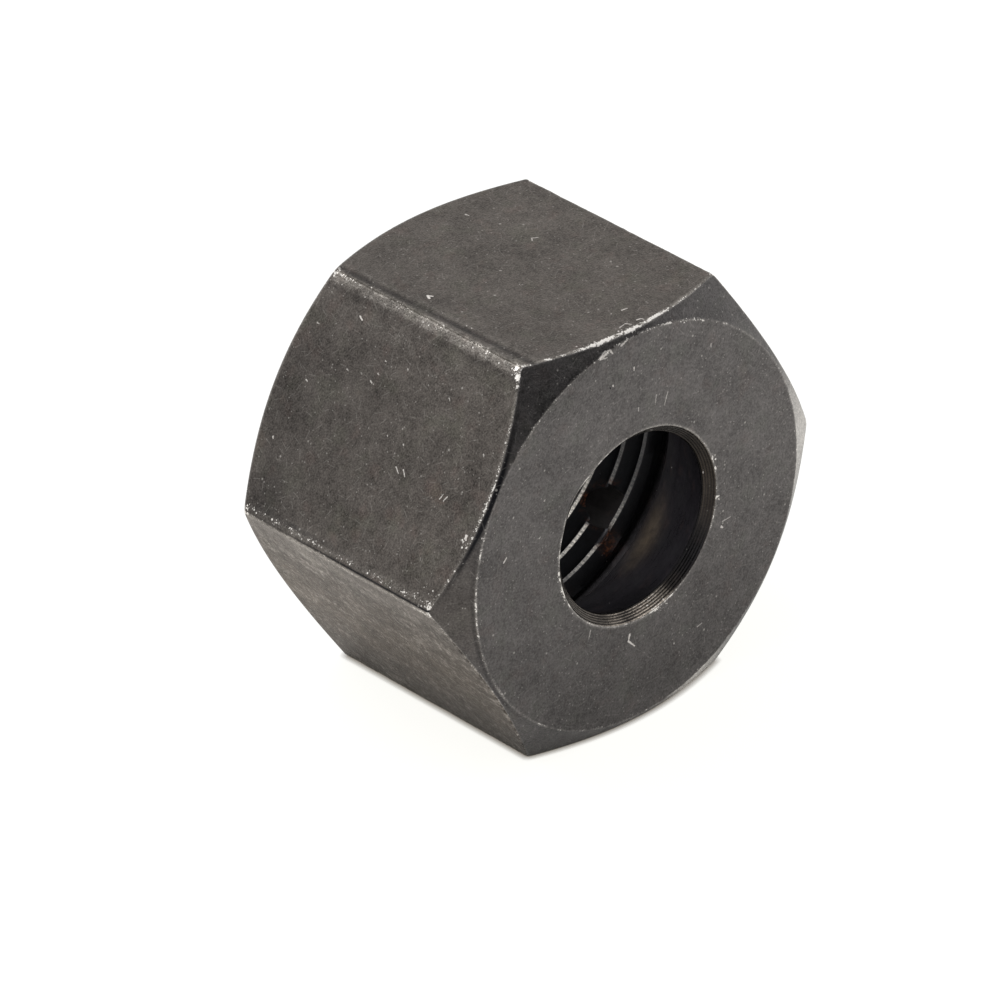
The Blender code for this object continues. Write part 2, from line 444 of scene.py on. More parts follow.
def makeRaggedGroup():
    # turns a soft strength into a mask with grainy, broken borders
    tree, given, result = newGroup("ragged_wear", "Place", "Strength Grain", "Mask")
    coarse = noise(tree, given["Place"], times(tree, given["Grain"], 0.4), 1.0)
    fine = noise(tree, given["Place"], given["Grain"])
    total = timesPlus(tree, fine, 1.5, given["Strength"])
    total = timesPlus(tree, coarse, 0.9, total)
    fill(tree, result["Mask"], between(tree, total, 0.50, 0.66))
    return tree


def makeStreakGroup():
    # lines that follow the lathe tool: noise in radius, depth and the turn's cosine and sine, which changes
    # slowly round the axis
    tree, given, result = newGroup("turned_streaks", "Round", "Across Along", "Value")
    radius, depth, turn = addNode(tree, "ShaderNodeSeparateXYZ", given["Round"]).outputs
    radius = times(tree, radius, given["Across"])
    depth = times(tree, depth, given["Across"])
    cosine = times(tree, maths(tree, "COSINE", turn), given["Along"])
    sine = times(tree, maths(tree, "SINE", turn), given["Along"])
    place = addNode(tree, "ShaderNodeCombineXYZ", radius, depth, cosine).outputs[0]
    streaks = addNode(tree, "ShaderNodeTexNoise", place, sine, 1.0, noise_dimensions="4D")
    fill(tree, streaks.inputs["Roughness"], 0.6)
    fill(tree, result["Value"], maths(tree, "SUBTRACT", streaks.outputs["Fac"], 0.5))
    return tree


def makeLandGroup():
    # the flat land along the crest of the helix, with the fine notches of a chattering tool
    tree, given, result = newGroup("crest_land", "Round", "Width", "Mask Notches")
    depth, turn = addNode(tree, "ShaderNodeSeparateXYZ", given["Round"]).outputs[1:]
    pitch = nutForm["threadPitch"]
    phase = nutForm["crestPhase"] - nutLength / 2 + pitch / 2
    alongHelix = timesPlus(tree, turn, pitch / (2 * math.pi), depth)
    fromCrest = maths(tree, "SUBTRACT", alongHelix, phase)
    away = maths(tree, "ABSOLUTE", maths(tree, "WRAP", fromCrest, pitch / 2, -pitch / 2))
    inner = maths(tree, "SUBTRACT", given["Width"], 0.05)
    fill(tree, result["Mask"], between(tree, away, given["Width"], inner))
    notch = maths(tree, "SINE", times(tree, turn, nutForm["crestNotches"]))
    fill(tree, result["Notches"], timesPlus(tree, notch, 0.5, 0.5))
    return tree


groups = {
    "land": makeLandGroup(),
    "mottle": makeMottleGroup(),
    "rubs": makeRubGroup(),
    "specks": makeSpeckGroup(),
    "scratches": makeScratchGroup(),
    "stroke": makeStrokeGroup(),
    "ragged": makeRaggedGroup(),
    "streaks": makeStreakGroup(),
}


# Single marks, in mm


def onTop(x, y):
    return (x, y, flatDistance)


def onLeft(y, up):
    # on the upper left flat; up is measured from the flat's middle line
    sine, cosine = math.sin(math.radians(30.0)), math.cos(math.radians(30.0))
    return (-flatDistance * cosine + up * sine, y, flatDistance * sine + up * cosine)


def onFace(x, z):
    return (x, -nutLength / 2, z)


def onRound(angle, radius, depth):
    turn = math.radians(angle)
    return (radius * math.cos(turn), depth - nutLength / 2, radius * math.sin(turn))


def strokes(kind, surface, rows):
    # each row: the start and the end of a mark as its surface's function takes them, its width, its strength
    half = len(rows[0]) // 2 - 1
    return [(kind, surface(*row[:half]), surface(*row[half:-2]), *row[-2:]) for row in rows]


# by finish; what no mark is on has an empty list
marks = {
    "flats": strokes("pale", onTop, [
        (-5.70, 1.40, -5.60, 1.64, 0.11, 1.0),
        (-5.60, 1.64, -5.42, 1.40, 0.10, 1.0),
        (0.9, -6.93, 1.24, -6.98, 0.07, 0.8),
        (0.17, -6.82, 0.22, -6.8, 0.07, 0.4),
        (-0.52, -8.22, 0.01, -8.12, 0.06, 0.55),
        (0.01, -8.12, 0.20, -8.40, 0.06, 0.7),
        (0.74, -8.26, 1.0, -8.34, 0.07, 0.9),
        (1.0, -8.34, 1.05, -8.5, 0.06, 0.8),
        (2.0, 6.8, 2.05, 6.6, 0.08, 0.6),
        (2.65, 2.1, 2.8, 2.3, 0.06, 0.55),
        (2.8, 2.3, 3.1, 2.1, 0.055, 0.65),
        (-0.9, 0.9, -0.85, 0.85, 0.06, 0.5),
    ]) + strokes("pale", onLeft, [
        (4.45, 5.52, 4.22, 5.40, 0.08, 0.9),
        (7.2, 4.1, 7.05, 4.1, 0.065, 0.5),
        (1.6, 4.0, 1.5, 4.0, 0.06, 0.55),
        (4.0, 2.6, 3.85, 2.55, 0.06, 0.5),
        (2.1, 2.65, 1.95, 2.55, 0.065, 0.65),
        (1.8, 3.2, 1.7, 3.15, 0.055, 0.5),
        (-3.6, 3.85, -3.7, 3.75, 0.055, 0.5),
        (-0.1, 4.2, -0.15, 4.1, 0.055, 0.5),
        (-1.8, -0.9, -2.10, -1.15, 0.058, 0.75),
        (-2.35, -0.85, -2.62, -1.15, 0.055, 0.7),
        (-5.5, -1.3, -5.62, -1.0, 0.055, 0.7),
        (-5.8, -1.3, -5.95, -1.0, 0.055, 0.7),
        (6.5, 1.0, 6.4, 0.95, 0.07, 0.65),
        (7.3, -2.7, 7.25, -2.8, 0.065, 0.6),
        (-1.7, 0.4, -1.75, 0.35, 0.06, 0.55),
        (-0.4, 0.4, -0.45, 0.35, 0.06, 0.55),
        (-7.3, 2.0, -7.35, 1.9, 0.07, 0.6),
        (-8.2, -2.4, -8.25, -2.6, 0.13, 0.9),
    ]) + strokes("red", onLeft, [
        (-4.7, -0.9, -5.55, -1.3, 0.75, 0.75),
        (-0.5, -1.7, -0.6, -1.8, 0.65, 0.5),
        (-2.6, -3.4, -2.7, -3.5, 0.55, 0.55),
        (-0.8, -5.3, -0.9, -5.5, 0.5, 0.5),
    ]),
    "turned": strokes("pale", onFace, [
        (-0.2, 10.2, -0.2, 10.0, 0.065, 0.7),
        (-1.8, 9.7, -1.75, 9.65, 0.08, 0.7),
        (1.45, 7.8, 1.35, 7.2, 0.06, 0.32),
        (2.3, 7.6, 2.05, 6.9, 0.065, 0.36),
        (0.1, 7.5, 0.1, 7.3, 0.055, 0.45),
        (5.6, 9.3, 5.6, 9.1, 0.06, 0.5),
        (6.6, 10.2, 6.65, 10.15, 0.08, 0.5),
        (6.3, -2.7, 6.4, -2.8, 0.10, 0.75),
        (6.4, -2.4, 7.0, -2.35, 0.055, 0.45),
        (6.1, -0.8, 6.15, -0.9, 0.07, 0.6),
        (-10.05, 2.0, -9.85, 2.2, 0.075, 0.8),
        (-9.3, 4.5, -9.25, 4.55, 0.06, 0.5),
        (-7.0, 4.6, -6.95, 4.65, 0.06, 0.5),
        (-7.4, 2.4, -7.35, 2.45, 0.06, 0.5),
        (-0.75, -6.65, -0.86, -7.05, 0.085, 0.95),
        (-0.86, -7.05, -0.4, -7.55, 0.085, 0.95),
        (-3.7, -5.1, -3.85, -5.6, 0.05, 0.5),
        (4.4, -8.4, 4.75, -8.3, 0.055, 0.5),
        (2.6, -8.7, 2.6, -8.65, 0.08, 0.55),
        (-2.70, 11.75, -2.42, 12.02, 0.13, 0.9),
        (-2.38, 12.02, -1.98, 12.0, 0.12, 0.8),
        (-1.98, 12.0, -1.78, 11.72, 0.09, 0.6),
        (-2.60, 11.7, -2.2, 11.62, 0.08, 0.5),
        (-2.50, 11.82, -2.15, 11.90, 0.17, 0.6),
        (-1.12, 11.95, -0.68, 12.12, 0.10, 0.5),
    ]) + strokes("dark", onFace, [
        (-2.0, 9.65, -1.95, 9.55, 0.07, 0.9),
    ]) + strokes("pale", onRound, [
        (153.5, 13.3, 0.75, 153.0, 13.3, 0.75, 0.10, 0.5),
    ]),
    "mouth": strokes("pale", onRound, [
        (10.0, 5.47, 0.48, 11.5, 5.50, 0.45, 0.045, 0.6),
        (75.0, 5.6, 0.35, 77.0, 5.6, 0.33, 0.06, 0.7),
    ]),
    "thread": strokes("rust", onRound, [
        (316.4, 9.4, 11.7, 319.5, 9.3, 11.8, 0.26, 1.0),
        (309.0, 9.6, 8.75, 305.0, 9.7, 8.65, 0.30, 1.0),
        (311.0, 9.3, 9.1, 308.0, 9.4, 9.0, 0.30, 1.0),
        (326.5, 9.4, 10.5, 326.0, 9.4, 10.8, 0.16, 1.0),
    ]) + strokes("pale", onRound, [
        (306.1, 9.18, 9.12, 306.5, 9.2, 9.1, 0.08, 0.8),
        (305.1, 9.36, 8.80, 305.0, 9.4, 8.8, 0.055, 0.6),
        (304.1, 9.58, 8.68, 304.0, 9.6, 8.7, 0.055, 0.6),
        (303.5, 10.0, 8.53, 303.4, 10.0, 8.5, 0.055, 0.6),
        (326.6, 9.2, 10.7, 326.8, 9.25, 10.8, 0.06, 0.6),
        (315.0, 9.25, 11.4, 314.5, 9.25, 11.2, 0.055, 0.5),
    ]),
    "seat": [],
    "hole": strokes("rust", onRound, [
        (312.5, 9.5, 10.4, 312.5, 9.6, 9.9, 0.3, 0.8),
    ]),
}


# Finishes of the black-oxide steel, by the part of the surface that carries them

wearAndLightLayers = ("bare", "rubbedAndSheen", "dark", "rust", "wornAndSheen")
finishes = {
    "flats": {
        "colour": (0.088, 0.0785, 0.071), "metallic": 0.93, "roughness": 0.42, "mottle": (2.0, 0.8, 1.0),
        "streaks": 0.0, "specks": 0.38, "scratches": 0.15, "tint": 0.45, "grain": 11.0, "bump": 0.010,
        "edgeTint": (0.98, 0.945, 0.915),  # what the steel reflects at a low angle
    },
    "turned": {
        "colour": (0.108, 0.101, 0.099), "metallic": 0.94, "roughness": 0.36, "mottle": (1.4, 0.5, 0.7),
        "streaks": 0.25, "specks": 0.40, "scratches": 0.13, "tint": 0.30, "grain": 11.0, "bump": 0.006,
        "rubbedAndSheenColour": "rubbedAndSheenChamfer",
    },
    "mouth": {
        "colour": (0.025, 0.0215, 0.020), "metallic": 0.95, "roughness": 0.28, "mottle": (0.8, 0.5, 0.8),
        "streaks": 1.2, "specks": 0.12, "scratches": 0.0, "tint": 0.3, "grain": 12.0, "bump": 0.003,
        "rubbedAndSheenColour": "beige",
    },
    "seat": {
        "colour": (0.032, 0.030, 0.032), "metallic": 0.95, "roughness": 0.50, "mottle": (0.5, 0.5, 0.7),
        "streaks": 0.5, "specks": 0.0, "scratches": 0.0, "tint": 0.3, "grain": 6.0, "bump": 0.002,
        "edgeTint": (0.35, 0.35, 0.37),
    },
    # on the thread the rubbed colour paints the highlight along the crests
    "thread": {
        "colour": (0.030, 0.030, 0.034), "metallic": 0.60, "roughness": 0.45, "mottle": (0.5, 0.4, 0.5),
        "streaks": 0.5, "specks": 0.0, "scratches": 0.0, "tint": 0.2, "grain": 11.0, "bump": 0.003,
        "rubbedAndSheenColour": "silver",
    },
    # the hole's wall is matt and nearly black, painted shade inside the hole
    "hole": {
        "colour": (0.022, 0.018, 0.019), "metallic": 0.0, "roughness": 0.85, "mottle": (0.5, 0.5, 0.6),
        "streaks": 0.0, "specks": 0.0, "scratches": 0.0, "tint": 0.6, "grain": 6.0, "bump": 0.004,
        "gloss": 0.2,
    },
}
paint = {
    "paleDust": (0.42, 0.40, 0.37),
    "bareSteel": (0.80, 0.77, 0.73),
    "rubbedSteel": (0.34, 0.318, 0.290),
    # also paints the reflection on the front chamfer at its right corners
    "rubbedAndSheenChamfer": (0.50, 0.475, 0.445),
    "silver": (0.66, 0.62, 0.55),
    "beige": (0.61, 0.535, 0.455),
    "chip": (0.74, 0.70, 0.66),
    "reddish": (0.125, 0.085, 0.075),
    "wornAndSheenBrown": (0.112, 0.090, 0.068),
    # also the colour that painted shade is mixed towards
    "deepOxideAndShade": (0.012, 0.012, 0.014),
    "darkRust": (0.050, 0.022, 0.014),
    "rust": (0.24, 0.085, 0.040),
    "olive": (0.95, 1.03, 0.93),  # multiplies the oxide's colour
}
patterns = {  # lengths in mm; of the cells of a pattern, this share carries a mark
    "specks": {"Spacing": 0.27, "Share": 0.42, "Size": 0.050},
    "dots": {"Spacing": 0.8, "Share": 0.40, "Size": 0.075},
    "beads": {"Spacing": 0.21, "Size": 0.062},
    "hairs": {"Spacing": 0.9, "Share": 0.6, "Width": 0.045, "Length": 0.35},
    "streaks": {"Across": 7.0, "Along": 1.2},
    "land": {"Width": 0.145},
}
finishNames = tuple(finishes)


def makeFinish(name, values):
    steel = bpy.data.materials.new("black_oxide_" + name)
    steel.use_nodes = True
    tree = steel.node_tree
    shader = tree.nodes["Principled BSDF"]
    place, around = placeOnNut(tree)
    layer = {}
    for key in wearAndLightLayers:
        layer[key] = addNode(tree, "ShaderNodeAttribute", attribute_name=key).outputs["Fac"]

    def mask(group, **given):
        return useGroup(tree, groups[group], Place=place, **given)["Mask"]

    # the oxide itself: mottled, a little reddish in places, brown where it is worn and where the seat's
    # highlight is painted, and nearly black in the grooves and where shade is painted
    fine, medium, broad = values["mottle"]
    mottle = useGroup(tree, groups["mottle"], Place=place, Fine=fine, Medium=medium, Broad=broad)["Value"]
    if values["streaks"]:
        streaks = useGroup(tree, groups["streaks"], Round=around, **patterns["streaks"])["Value"]
        mottle = timesPlus(tree, streaks, values["streaks"], mottle)
        mottle = larger(tree, mottle, 0.1)
    masks = {"pale": 0.0, "dark": 0.0, "red": 0.0, "rust": times(tree, layer["rust"], 1.0, clamp=True)}
    for kind, start, end, width, strength in marks[name]:
        stroke = mask("stroke", Start=start, End=end, Width=width)
        masks[kind] = larger(tree, masks[kind], times(tree, stroke, strength))
    patches = between(tree, noise(tree, place, 0.8), 0.05, 0.22, 0.0, values["tint"])
    patches = larger(tree, patches, masks["red"])
    tinted = tuple(0.6 * a + 0.4 * b for a, b in zip(values["colour"], paint["reddish"]))
    oxide = mixed(tree, patches, values["colour"], tinted)
    olive = between(tree, noise(tree, place, 0.55), 0.02, 0.20, 0.0, values["tint"])
    oxide = mixed(tree, olive, oxide, paint["olive"], "MULTIPLY")
    oxide = mixed(tree, times(tree, layer["wornAndSheen"], 1.0, clamp=True), oxide, paint["wornAndSheenBrown"])

    # rubbed places and painted highlights: paler through a fine grain, on the thread only along the land of
    # its crest
    lengthwise = vectorMaths(tree, "MULTIPLY", place, (1.0, 0.45, 1.0))
    grain = between(tree, noise(tree, lengthwise, 15.0, 1.0), -0.22, 0.22, 0.25, 1.0)
    if name == "thread":
        land = useGroup(tree, groups["land"], Round=around, **patterns["land"])
        notches = timesPlus(tree, land["Notches"], 0.45, 0.55)
        grain = times(tree, times(tree, land["Mask"], notches), grain)
    rubbedAndSheen = layer["rubbedAndSheen"]
    if name == "flats":
        rubs = useGroup(tree, groups["rubs"], Place=place)["Value"]
        rubbedAndSheen = timesPlus(tree, rubs, 2.5, rubbedAndSheen)
        mottle = larger(tree, timesPlus(tree, rubs, 0.9, mottle), 0.05)
        # round the small hole too, just over its radius from its middle on the flat
        holeRadius = nutForm["holeRadius"]
        holeReach = flatDistance / math.cos(math.radians(nutForm["holeAngle"] + 30.0))
        holeMouth = onRound(nutForm["holeAngle"], holeReach, holeDepth)
        away = vectorMaths(tree, "LENGTH", vectorMaths(tree, "SUBTRACT", place, holeMouth))
        away = timesPlus(tree, noise(tree, place, 4.0), 0.25, away)
        rim = between(tree, away, holeRadius + 0.24, holeRadius + 0.06)
        rubbedAndSheen = timesPlus(tree, rim, 1.1, rubbedAndSheen)
    rubbedAndSheenColour = paint[values.get("rubbedAndSheenColour", "rubbedSteel")]
    oxide = mixed(tree, times(tree, rubbedAndSheen, grain, clamp=True), oxide, rubbedAndSheenColour)
    oxide = mixed(tree, times(tree, layer["dark"], 0.75, clamp=True), oxide, paint["deepOxideAndShade"])
    oxide = mixed(tree, 1.0, oxide, mottle, "MULTIPLY")

    # pale specks and hair lines that lie on it
    pale = 0.0
    if values["specks"]:
        specks = mask("specks", **patterns["specks"])
        pale = times(tree, specks, values["specks"])
        dots = mask("specks", **patterns["dots"])
        pale = larger(tree, pale, times(tree, dots, 1.5 * values["specks"]))
    if values["scratches"]:
        normal = addNode(tree, "ShaderNodeNewGeometry").outputs["Normal"]
        hairs = mask("scratches", Normal=normal, **patterns["hairs"])
        pale = larger(tree, pale, times(tree, hairs, values["scratches"]))
    colour = mixed(tree, pale, oxide, paint["paleDust"])

    # where the oxide is worn through, bright steel in beads and in whole patches; then the marks and the rust
    share = times(tree, layer["bare"], 0.9, clamp=True)
    beads = mask("specks", Share=share, **patterns["beads"])
    beads = times(tree, beads, between(tree, noise(tree, place, 4.0), -0.25, 0.10, 0.25, 1.0))
    bare = larger(tree, mask("ragged", Strength=layer["bare"], Grain=values["grain"]), beads)
    colour = mixed(tree, bare, colour, paint["bareSteel"])
    colour = mixed(tree, masks["dark"], colour, paint["deepOxideAndShade"])
    rusty = mixed(tree, between(tree, noise(tree, place, 6.0), -0.12, 0.12), paint["darkRust"], paint["rust"])
    colour = mixed(tree, masks["rust"], colour, rusty)
    colour = mixed(tree, masks["pale"], colour, paint["chip"])
    fill(tree, shader.inputs["Base Color"], colour)

    # rust and pale specks are matt, bare steel is all metal
    matt = times(tree, larger(tree, pale, masks["pale"]), 0.5)
    matt = larger(tree, masks["rust"], matt)
    metal = times(tree, maths(tree, "SUBTRACT", 1.0, matt), values["metallic"])
    fill(tree, shader.inputs["Metallic"], metal)
    uneven = timesPlus(tree, noise(tree, place, 3.0), 0.25, values["roughness"])
    uneven = timesPlus(tree, bare, -0.06, uneven)
    fill(tree, shader.inputs["Roughness"], timesPlus(tree, masks["rust"], 0.4, uneven))
    shader.inputs["Specular IOR Level"].default_value = values.get("gloss", 0.5)
    fill(tree, shader.inputs["Specular Tint"], values.get("edgeTint", (1.0, 1.0, 1.0)))

    # relief: the mottle's grain, with the bare places a little lower
    height = timesPlus(tree, bare, -0.8, mottle)
    height = maths(tree, "ADD", height, times(tree, noise(tree, place, 14.0), 1.5))
    bump = addNode(tree, "ShaderNodeBump")
    bump.inputs["Strength"].default_value = 1.0
    bump.inputs["Distance"].default_value = values["bump"] * mm
    fill(tree, bump.inputs["Height"], height)
    fill(tree, shader.inputs["Normal"], bump.outputs[0])
    return steel


materials = [makeFinish(name, values) for name, values in finishes.items()]
report("finishes")


# The nut's surface: one section, carried round the axis

fineness = {
    "columnsOnHalfFlat": 27,
    "crowding": 2.2,  # how strongly the columns crowd together at the long edges
    "threadSteps": (-0.656, -0.42, -0.19, -0.13, 0.0, 0.13, 0.19, 0.42, 0.656),  # mm from a crest, per turn
    "sameSpot": 0.0002,  # mm; closer points are welded
    "holeSides": 72,
    "drillReach": (5.0, 16.0),  # mm from the nut's axis
    "sharpFrom": 32.0,  # degrees between two faces
}


def makeColumns():
    # angles round the axis; on a flat the distance from its nearest long edge grows by a fixed ratio
    count = fineness["columnsOnHalfFlat"]
    growth = np.expm1(fineness["crowding"] * np.arange(count) / count) / np.expm1(fineness["crowding"])
    fromMiddle = np.concatenate([-(1.0 - growth), 1.0 - growth[:0:-1], [0.0]]) * halfFlat
    onFlat = np.degrees(np.arctan2(np.unique(np.round(fromMiddle, 6)), flatDistance))
    return np.concatenate([onFlat + 30.0 + 60.0 * k for k in range(6)])


def hexRadius(angle, rounding):
    # distance from the axis to the hexagon: the flat's distance over the cosine of the turn from its middle,
    # and near a long edge the circle of the rounding radius that touches both flats
    fromEdge = np.radians((angle + 30.0) % 60.0 - 30.0)
    fromFlat = np.radians(angle % 60.0 - 30.0)
    centre = (flatDistance - rounding) / math.cos(math.radians(30.0))
    onFlat = flatDistance / np.cos(fromFlat)
    inside = rounding**2 - (centre * np.sin(fromEdge)) ** 2
    onCircle = centre * np.cos(fromEdge) + np.sqrt(np.maximum(inside, 0.0))
    touching = math.atan2(halfFlat - rounding * math.tan(math.radians(30.0)), flatDistance)
    return np.where(np.abs(fromFlat) < touching, onFlat, onCircle)


def threadWall(angle, depth):
    # the crest's depth falls by one pitch a turn; away from a crest the wall recedes on flanks of 30 degrees
    pitch = nutForm["threadPitch"]
    crestDepth = nutForm["crestPhase"] - pitch * (angle - 180.0) / 360.0
    fromCrest = (depth - crestDepth + pitch / 2) % pitch - pitch / 2
    flank = (np.abs(fromCrest) - nutForm["crestWidth"] / 2) * math.sqrt(3.0)
    rounded = np.where(np.abs(flank) < 0.05, (flank + 0.05) ** 2 / 0.2, np.maximum(flank, 0.0))
    return crestRadius + np.minimum(rounded, nutForm["threadRadius"] - crestRadius), fromCrest


def threadRows(angle):
    # rows that follow the helix: each keeps its distance from a crest, and what lies past the socket's ends
    # is folded onto them and welded later; the countersink at the rear cuts into the crests
    pitch = nutForm["threadPitch"]
    turns = int(np.ceil((threadEnd - threadStart) / pitch)) + 2
    crestAtZero = nutForm["crestPhase"] + pitch / 2
    firstCrest = crestAtZero - pitch * np.ceil((crestAtZero - threadStart) / pitch + 0.5)
    raw = (firstCrest + pitch * np.arange(turns)[:, None] + np.array(fineness["threadSteps"])).ravel()
    depth = np.clip(raw[:, None] - pitch * angle / 360.0, threadStart, threadEnd)
    rearCone = depth - threadEnd + nutForm["threadRadius"]
    return np.stack([np.maximum(threadWall(angle, depth)[0], rearCone), depth], axis=1)


def softCorner(before, corner, after, reach, rows):
    # a curve that leaves one side at this reach from the corner and meets the next side at the same reach
    start = corner + (before - corner) / np.linalg.norm(before - corner, axis=0) * reach
    end = corner + (after - corner) / np.linalg.norm(after - corner, axis=0) * reach
    t = np.linspace(0.0, 1.0, rows)[:, None, None]
    return (1 - t) ** 2 * start + 2 * t * (1 - t) * corner + t**2 * end


def sideRows(start, end, rows, crowding):
    # rows from one point of the section to the next, closer together at both ends
    k = np.arange(1, rows + 1) / (rows + 1)
    t = (1 - crowding) * k + crowding * (0.5 - 0.5 * np.cos(np.pi * k))
    return start + (end - start) * t[:, None, None]


def makeSection(angle):
    # the closed section at every column, from the bore's mouth outwards and back through the socket
    form = nutForm
    outer = hexRadius(angle, form["edgeRound"])
    relief = form["threadRadius"] + form["reliefClearance"]
    startRadius = threadWall(angle, threadStart)[0]
    ringRows = 4 * form["mouthRings"] + 1
    # each corner: radius, depth, reach of its softening, rows of it, and of the side after it the rows, the
    # crowding and the finish
    corners = [
        (mouthRadius, 0.0, 0.03, 3, 22, 0.9, "turned"),
        (faceRadius, 0.0, 0.05, 4, 13, 0.8, "turned"),
        (outer, (outer - faceRadius) * chamferSlope, 0.07, 5, 84, 0.3, "flats"),
        (outer, nutLength - (outer - rearRadius) * chamferSlope, 0.09, 4, 8, 0.7, "turned"),
        (rearRadius, nutLength, 0.06, 3, 6, 0.6, "turned"),
        (rearMouth, nutLength, 0.03, 3, 1, 0.0, "turned"),
        (threadEnd - nutLength + rearMouth, threadEnd, 0.0, 1, 0, 0.0, "thread"),
        (startRadius, threadStart, 0.0, 1, 3, 0.0, "thread"),
        (relief, threadStart, 0.05, 3, 3, 0.0, "seat"),
        (relief, seatEnd, 0.05, 3, 3, 0.0, "seat"),
        (seatRadius, seatEnd, 0.03, 3, 16, 0.5, "seat"),
        (form["boreRadius"], landEnd, 0.04, 3, 1, 0.0, "seat"),
        (form["boreRadius"], form["mouthWidth"], 0.02, 3, ringRows, 0.0, "mouth"),
    ]
    socketEnd = 6  # the corner whose side is the thread
    points = []
    for corner in corners:
        points.append(np.stack([np.broadcast_to(value, angle.shape) for value in corner[:2]]).astype(float))
    rows, finish, helixRows = [], [], None
    for i, (_, _, reach, cornerRows, sideCount, crowding, name) in enumerate(corners):
        before, here, after = points[i - 1], points[i], points[(i + 1) % len(points)]
        rows.append(softCorner(before, here, after, reach, cornerRows) if reach else here[None])
        finish += [name] * len(rows[-1])
        if i == socketEnd:
            first = len(finish)
            rows.append(threadRows(angle)[::-1])
            finish += [name] * len(rows[-1])
            helixRows = (first, len(finish))
        elif sideCount:
            nextReach = corners[(i + 1) % len(corners)][2]
            along = (after - here) / np.linalg.norm(after - here, axis=0)
            rows.append(sideRows(here + along * reach, after - along * nextReach, sideCount, crowding))
            finish += [name] * sideCount
    section = np.concatenate(rows)
    return section[:, 0], section[:, 1], np.array(finish)[:, None], helixRows


# Wear and painted light: how far each point of the surface is sunk (mm), and how bare, dark, rusty or brown
# it is, painted highlights and shade included

dents = {
    "rimTurn": 144.0,  # where the bore's rim is bent inwards
    "rimSpan": 17.0,
    "rimReach": 6.3,  # radius where the bend starts
    "rimSlope": 0.466,
    "crestTurn": 309.6,  # where the first crest is broken beside the hole
    "crestSpan": 4.4,
    "crestDepth": 0.42,
}

# chips, stains and a brown painted highlight in the seat: angle, radius, depth, size, kind, strength
nutSpots = [
    (121.0, 14.3, 1.75, 0.24, "bare", 0.9),
    (122.2, 14.1, 1.45, 0.16, "bare", 1.1),
    (123.6, 13.9, 1.22, 0.14, "bare", 0.9),
    (179.0, 14.3, 1.50, 0.35, "bare", 0.22),
    (176.5, 13.9, 1.45, 0.40, "bare", 0.30),
    (175.5, 13.8, 2.2, 0.35, "bare", 0.28),
    (176.0, 13.8, 15.0, 1.8, "dark", 0.40),
    (120.0, 14.3, 16.3, 0.30, "bare", 0.7),
    (180.0, 14.3, 16.4, 0.30, "bare", 0.7),
    (60.0, 14.3, 1.6, 0.25, "bare", 0.5),
    (161.5, 12.9, 0.85, 0.25, "bare", 0.7),
    (91.0, 12.4, 0.25, 0.5, "bare", 0.35),
    # these four spots paint a brown highlight on the seat, where it would reflect the light through the rear
    # opening
    (314.0, 8.2, 5.55, 1.2, "wornAndSheen", 0.60),
    (321.0, 8.3, 5.70, 1.1, "wornAndSheen", 0.45),
    (329.0, 8.4, 5.90, 0.8, "wornAndSheen", 0.22),
    (305.0, 8.1, 5.40, 0.9, "wornAndSheen", 0.22),
    (309.0, 9.5, 8.9, 0.55, "rust", 0.8),
]

farAway = 99.0  # mm: no band of wear reaches so far


def softNoise(points, grain, seed):
    # value noise: seeded numbers on a lattice of this grain, blended smoothly inside each cell, from -1 to 1
    cells = points / np.asarray(grain)
    base = np.floor(cells).astype(np.int64)
    part = cells - base
    part = part * part * (3.0 - 2.0 * part)
    total = np.zeros(points.shape[:-1])
    for corner in np.ndindex(2, 2, 2):
        at = base + np.array(corner)
        key = at[..., 0] * 73856093 ^ at[..., 1] * 19349663 ^ at[..., 2] * 83492791 ^ seed * 2654435761
        key = (key ^ (key >> 13)) * 1274126177 & 0xFFFFFFFF
        value = ((key ^ (key >> 16)) & 0xFFFF) / 32767.5 - 1.0
        total += value * np.prod(np.where(np.array(corner), part, 1.0 - part), axis=-1)
    return total


def hump(distance, width):
    # 1 at the middle and falling smoothly to 0 at the width
    t = np.clip(1.0 - np.abs(distance) / width, 0.0, 1.0)
    return t * t * (3.0 - 2.0 * t)


def facing(angle, middle, span):
    # 1 at the middle turn round the axis, falling smoothly to 0 a span of degrees away from it
    return hump((angle - middle + 180.0) % 360.0 - 180.0, span)


def addBands(wearAndLight, where, bands):
    # each band: the kind of wear, each point's distance from its middle line, half its width, its strength
    for kind, away, width, strength in bands:
        wearAndLight[kind] += hump(away, width) * where * strength


